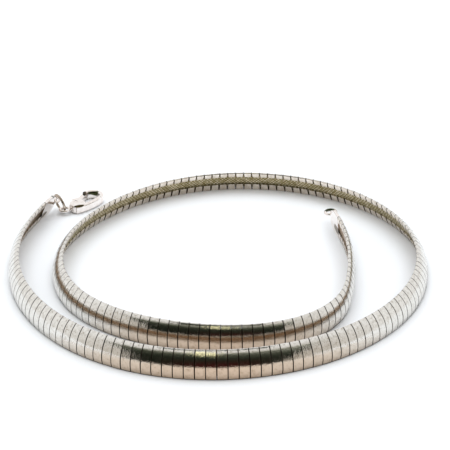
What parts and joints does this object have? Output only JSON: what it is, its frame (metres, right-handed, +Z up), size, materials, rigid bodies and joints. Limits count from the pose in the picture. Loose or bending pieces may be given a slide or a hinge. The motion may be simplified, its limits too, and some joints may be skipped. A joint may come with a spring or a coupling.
{
  "type": "omega necklace",
  "caption": "Silver omega necklace of domed plates crimped on a woven strip, with smooth end caps and a lobster claw, lying in an open spiral on its edge",
  "frame": {"origin": "middle of the plan of the spiral, on the surface that it lies on", "axes": "+X to the right in the picture, from the clasp end to the eye end, +Y away from the viewer, +Z up off the surface"},
  "size_m": [0.095, 0.0926, 0.006],
  "materials": {
    "silver_plates": "polished silver, fine scratches",
    "woven_strip": "fine woven silver wire, slightly tarnished",
    "silver_fittings": "polished silver"
  },
  "bodies": {
    "collar": {"outer_plates": "silver_plates", "inner_plates": "silver_plates", "mesh_strip": "woven_strip", "clasp_end_cap": "silver_fittings", "eye_end_cap": "silver_fittings", "jump_ring": "silver_fittings", "claw_body": "silver_fittings", "lever_pin": "silver_fittings"},
    "lever": {"claw_lever": "silver_fittings"}
  },
  "joints": [
    {"name": "lever_hinge", "type": "hinge", "parent": "collar", "child": "lever", "pos_m": [-0.03521, 0.0342, 0.00115], "axis": [0, 0, -1], "range_deg": [0, 25], "stiffness_Nm_per_rad": 0.0005, "springref_deg": -11.46}
  ]
}
